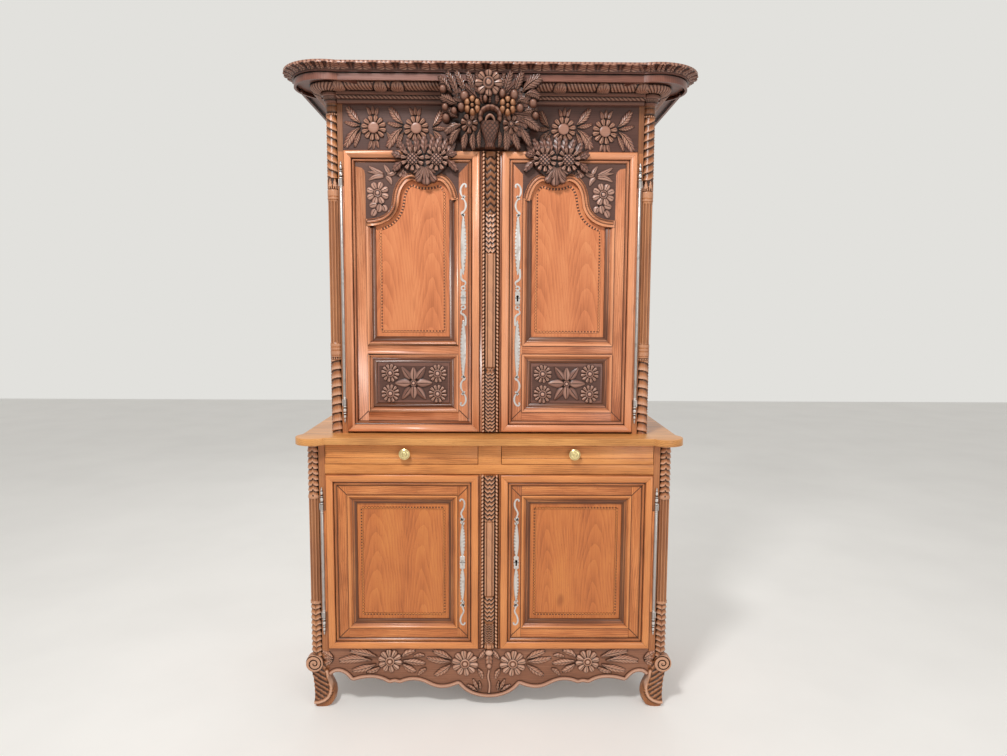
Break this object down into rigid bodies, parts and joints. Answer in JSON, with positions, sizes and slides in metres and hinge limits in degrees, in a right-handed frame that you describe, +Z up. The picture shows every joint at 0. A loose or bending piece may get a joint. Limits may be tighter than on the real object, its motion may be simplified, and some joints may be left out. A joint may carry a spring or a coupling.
{
  "type": "two-part buffet",
  "caption": "Tall carved two-part cupboard: double doors over drawers and lower double doors, on scroll feet.",
  "frame": {"origin": "centre of the outline's footprint, on the floor", "axes": "+X to the right as seen from the front, -Y out of the doors, +Z up"},
  "size_m": [1.5558, 0.6819, 2.447],
  "materials": {
    "waxed_wood": "waxed and polished oak-like wood, warm orange brown",
    "carved_wood": "carved wood, dark in its hollows and polished on its high places",
    "inner_wood": "plain unpolished wood of boards that face in or back",
    "polished_steel": "polished and engraved steel",
    "lock_iron": "dull iron of locks and bolts",
    "brass": "pale polished brass"
  },
  "bodies": {
    "case": {"countertop": "waxed_wood", "lower_front_posts": "carved_wood", "lower_rear_posts": "inner_wood", "lower_side_rails": "waxed_wood", "lower_side_panels": "waxed_wood", "lower_back": "inner_wood", "drawer_rail": "waxed_wood", "drawer_divider": "waxed_wood", "apron": "carved_wood", "lower_bottom": "inner_wood", "lower_shelf": "inner_wood", "shelf_cleats": "inner_wood", "drawer_runners": "inner_wood", "hinge_pins": "polished_steel", "upper_front_posts": "carved_wood", "upper_rear_posts": "inner_wood", "upper_side_rails": "waxed_wood", "upper_side_panels": "waxed_wood", "upper_back": "inner_wood", "upper_bottom": "inner_wood", "upper_shelves": "inner_wood", "upper_top": "inner_wood", "frieze": "carved_wood", "cornice": "carved_wood", "crest": "carved_wood"},
    "left_drawer": {"left_drawer_front": "waxed_wood", "left_drawer_box": "inner_wood", "left_knob": "brass"},
    "right_drawer": {"right_drawer_front": "waxed_wood", "right_drawer_box": "inner_wood", "right_knob": "brass"},
    "lower_left_door": {"lower_left_door_frame": "waxed_wood", "lower_left_door_panel": "waxed_wood", "lower_pilaster": "carved_wood", "lower_left_plate": "polished_steel", "lower_left_hinge_sleeve": "polished_steel"},
    "lower_right_door": {"lower_right_door_frame": "waxed_wood", "lower_right_door_panel": "waxed_wood", "lower_right_plate": "polished_steel", "lower_right_lock": "lock_iron", "lower_right_hinge_sleeve": "polished_steel"},
    "upper_left_door": {"upper_left_door_frame": "waxed_wood", "upper_left_door_panel": "waxed_wood", "upper_left_low_panel": "carved_wood", "upper_left_flowers": "carved_wood", "upper_pilaster": "carved_wood", "upper_left_plate": "polished_steel", "upper_left_hinge_sleeve": "polished_steel"},
    "upper_right_door": {"upper_right_door_frame": "waxed_wood", "upper_right_door_panel": "waxed_wood", "upper_right_low_panel": "carved_wood", "upper_right_flowers": "carved_wood", "upper_right_plate": "polished_steel", "upper_right_lock": "lock_iron", "upper_right_hinge_sleeve": "polished_steel"},
    "lower_left_bolt": {"lower_left_bolt": "lock_iron"},
    "lower_right_lock_bolt": {"lower_right_lock_bolt": "lock_iron"},
    "upper_left_bolt": {"upper_left_bolt": "lock_iron"},
    "upper_right_lock_bolt": {"upper_right_lock_bolt": "lock_iron"}
  },
  "joints": [
    {"name": "left_drawer_slide", "type": "slide", "parent": "case", "child": "left_drawer", "axis": [0, -1, 0], "range_m": [0, 0.36]},
    {"name": "right_drawer_slide", "type": "slide", "parent": "case", "child": "right_drawer", "axis": [0, -1, 0], "range_m": [0, 0.36]},
    {"name": "lower_left_door_hinge", "type": "hinge", "parent": "case", "child": "lower_left_door", "pos_m": [-0.646, -0.2618, 0.59], "axis": [0, 0, -1], "range_deg": [0, 150]},
    {"name": "lower_right_door_hinge", "type": "hinge", "parent": "case", "child": "lower_right_door", "pos_m": [0.646, -0.2618, 0.59], "axis": [0, 0, 1], "range_deg": [0, 150]},
    {"name": "upper_left_door_hinge", "type": "hinge", "parent": "case", "child": "upper_left_door", "pos_m": [-0.568, -0.1818, 1.63], "axis": [0, 0, -1], "range_deg": [0, 150]},
    {"name": "upper_right_door_hinge", "type": "hinge", "parent": "case", "child": "upper_right_door", "pos_m": [0.568, -0.1818, 1.63], "axis": [0, 0, 1], "range_deg": [0, 150]},
    {"name": "lower_left_bolt_slide", "type": "slide", "parent": "lower_left_door", "child": "lower_left_bolt", "axis": [0, 0, 1], "range_m": [0, 0.014]},
    {"name": "lower_right_lock_slide", "type": "slide", "parent": "lower_right_door", "child": "lower_right_lock_bolt", "axis": [-1, 0, 0], "range_m": [0, 0.014]},
    {"name": "upper_left_bolt_slide", "type": "slide", "parent": "upper_left_door", "child": "upper_left_bolt", "axis": [0, 0, 1], "range_m": [0, 0.014]},
    {"name": "upper_right_lock_slide", "type": "slide", "parent": "upper_right_door", "child": "upper_right_lock_bolt", "axis": [-1, 0, 0], "range_m": [0, 0.014]}
  ]
}
